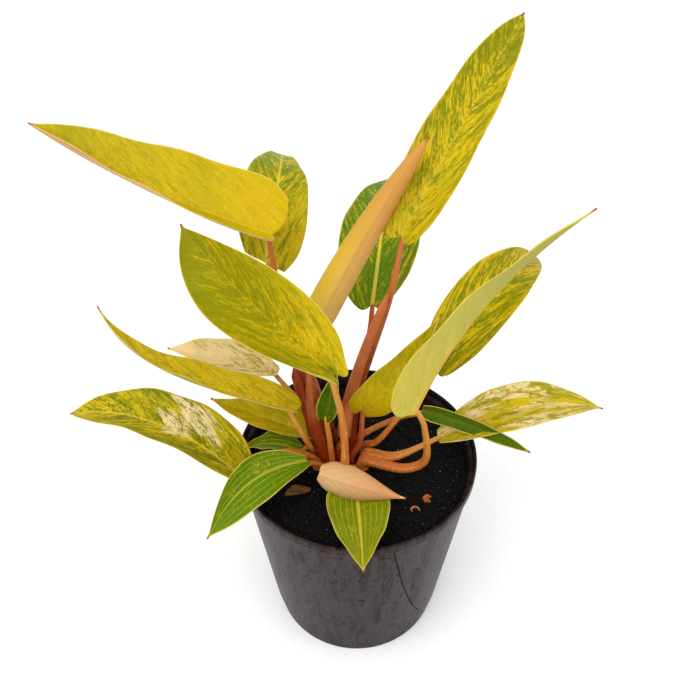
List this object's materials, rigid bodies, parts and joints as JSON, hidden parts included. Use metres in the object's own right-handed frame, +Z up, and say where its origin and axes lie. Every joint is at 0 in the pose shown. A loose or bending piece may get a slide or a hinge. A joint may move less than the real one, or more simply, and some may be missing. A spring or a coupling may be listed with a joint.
{
  "type": "potted philodendron",
  "caption": "Young variegated philodendron in a round tapered plastic nursery pot, its heart-shaped leaves on long petioles rising from one crown in the soil.",
  "frame": {"origin": "centre of the pot's underside, on the plane of its foot", "axes": "+Z up along the pot's axis, +Y away from the viewer towards the rear leaves, +X towards the tall leaf on the right"},
  "size_m": [0.3084, 0.2412, 0.3322],
  "materials": {
    "pot_plastic": "satin",
    "soil": "matte",
    "stem": "satin",
    "petiole": "satin",
    "leaf_gold": "satin",
    "leaf_green": "satin",
    "leaf_cream": "satin",
    "dry_leaf": "matte",
    "debris": "matte"
  },
  "bodies": {
    "root": {"pot": "pot_plastic", "soil": "soil", "crown": "stem", "soil_pellet": "debris", "wood_shaving": "debris", "dried_leaf": "dry_leaf", "petiole_left_gold": "petiole", "blade_left_gold": "leaf_gold", "petiole_back_left": "petiole", "blade_back_left": "leaf_green", "petiole_left_broad": "petiole", "blade_left_broad": "leaf_green", "petiole_rolled_young": "petiole", "blade_rolled_young": "leaf_gold", "petiole_right_tall": "petiole", "blade_right_tall": "leaf_gold", "petiole_back_middle": "petiole", "blade_back_middle": "leaf_green", "petiole_right_speckled": "petiole", "blade_right_speckled": "leaf_gold", "petiole_right_inner": "petiole", "blade_right_inner": "leaf_gold", "petiole_right_long": "petiole", "blade_right_long": "leaf_green", "petiole_right_low": "petiole", "blade_right_low": "leaf_cream", "petiole_right_thin": "petiole", "blade_right_thin": "leaf_green", "petiole_left_narrow": "petiole", "blade_left_narrow": "leaf_green", "petiole_left_olive": "petiole", "blade_left_olive": "leaf_green", "petiole_left_cream": "petiole", "blade_left_cream": "leaf_cream", "petiole_left_low": "petiole", "blade_left_low": "leaf_cream", "petiole_left_striped": "petiole", "blade_left_striped": "leaf_green", "petiole_left_under": "petiole", "blade_left_under": "leaf_green", "petiole_cream_young": "petiole", "blade_cream_young": "leaf_cream", "petiole_front_small": "petiole", "blade_front_small": "leaf_green", "petiole_centre_small": "petiole", "blade_centre_small": "leaf_green", "sheath_right_tall": "dry_leaf", "sheath_left_gold": "dry_leaf"}
  },
  "joints": []
}
